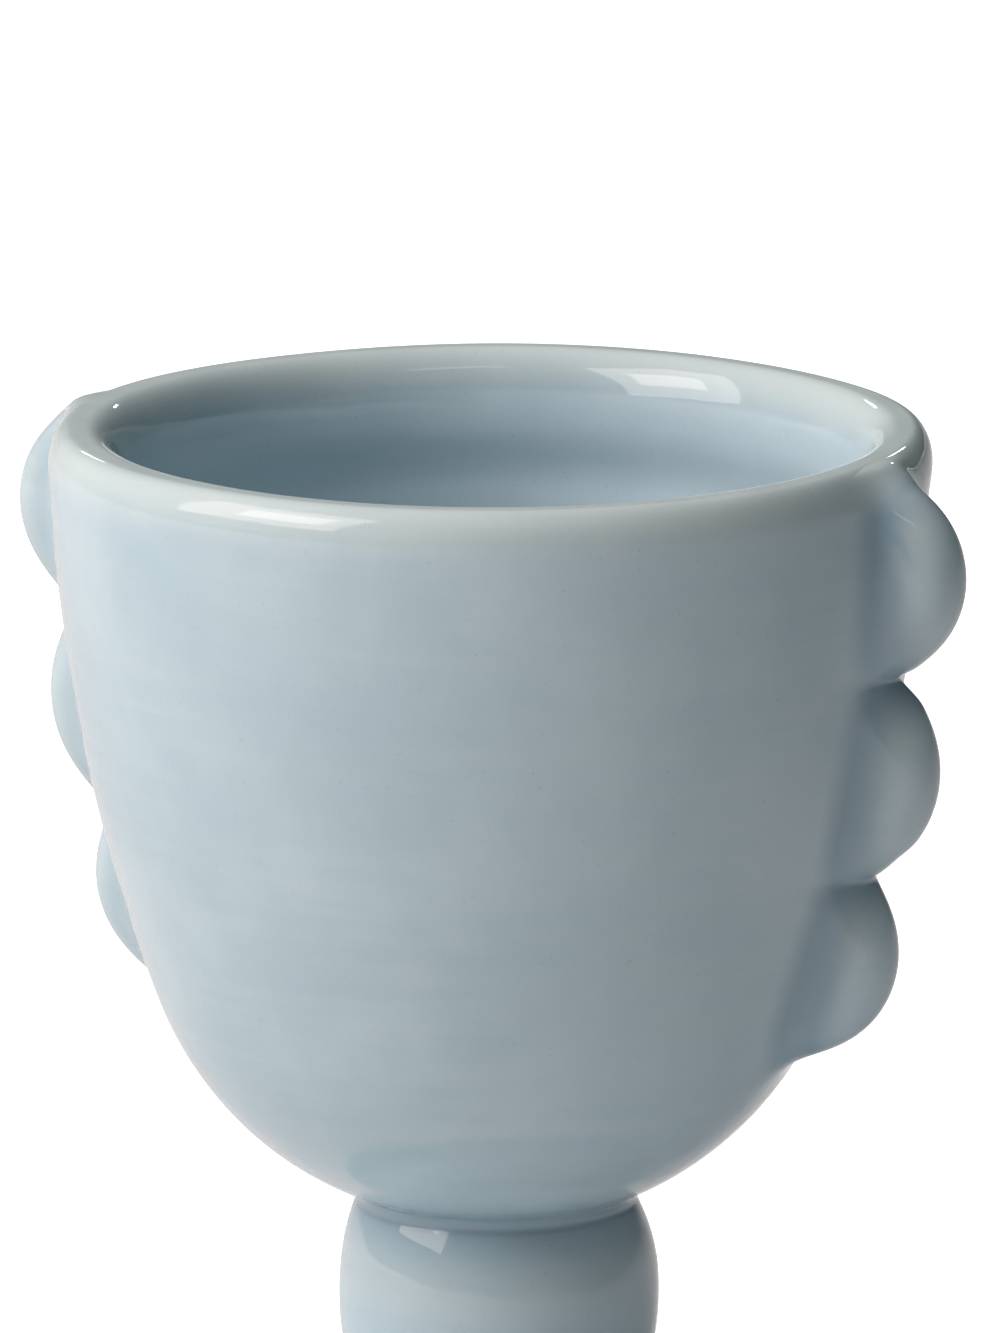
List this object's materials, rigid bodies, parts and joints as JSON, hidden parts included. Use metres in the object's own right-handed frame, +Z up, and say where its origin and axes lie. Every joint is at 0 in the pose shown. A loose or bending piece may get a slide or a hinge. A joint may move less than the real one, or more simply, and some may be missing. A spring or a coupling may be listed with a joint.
{
  "type": "egg cup",
  "caption": "Footed ceramic egg cup: a thrown bowl with a rolled lip on a knopped stem and spreading foot, with a scalloped ear of pressed lobes on each side.",
  "frame": {"origin": "centre of the foot ring, on the plane that it stands on", "axes": "+Z up along the axis of the bowl, +X through the right ear, -X through the left ear"},
  "size_m": [0.0616, 0.052, 0.07],
  "materials": {
    "glaze": "glossy pale grey-blue glaze, paler where it runs thin on edges and bluer where it pools, with fine specks"
  },
  "bodies": {
    "root": {"bowl": "glaze", "knop": "glaze", "foot": "glaze", "right_upper_lobe": "glaze", "right_middle_lobe": "glaze", "right_lower_lobe": "glaze", "left_upper_lobe": "glaze", "left_middle_lobe": "glaze", "left_lower_lobe": "glaze"}
  },
  "joints": []
}
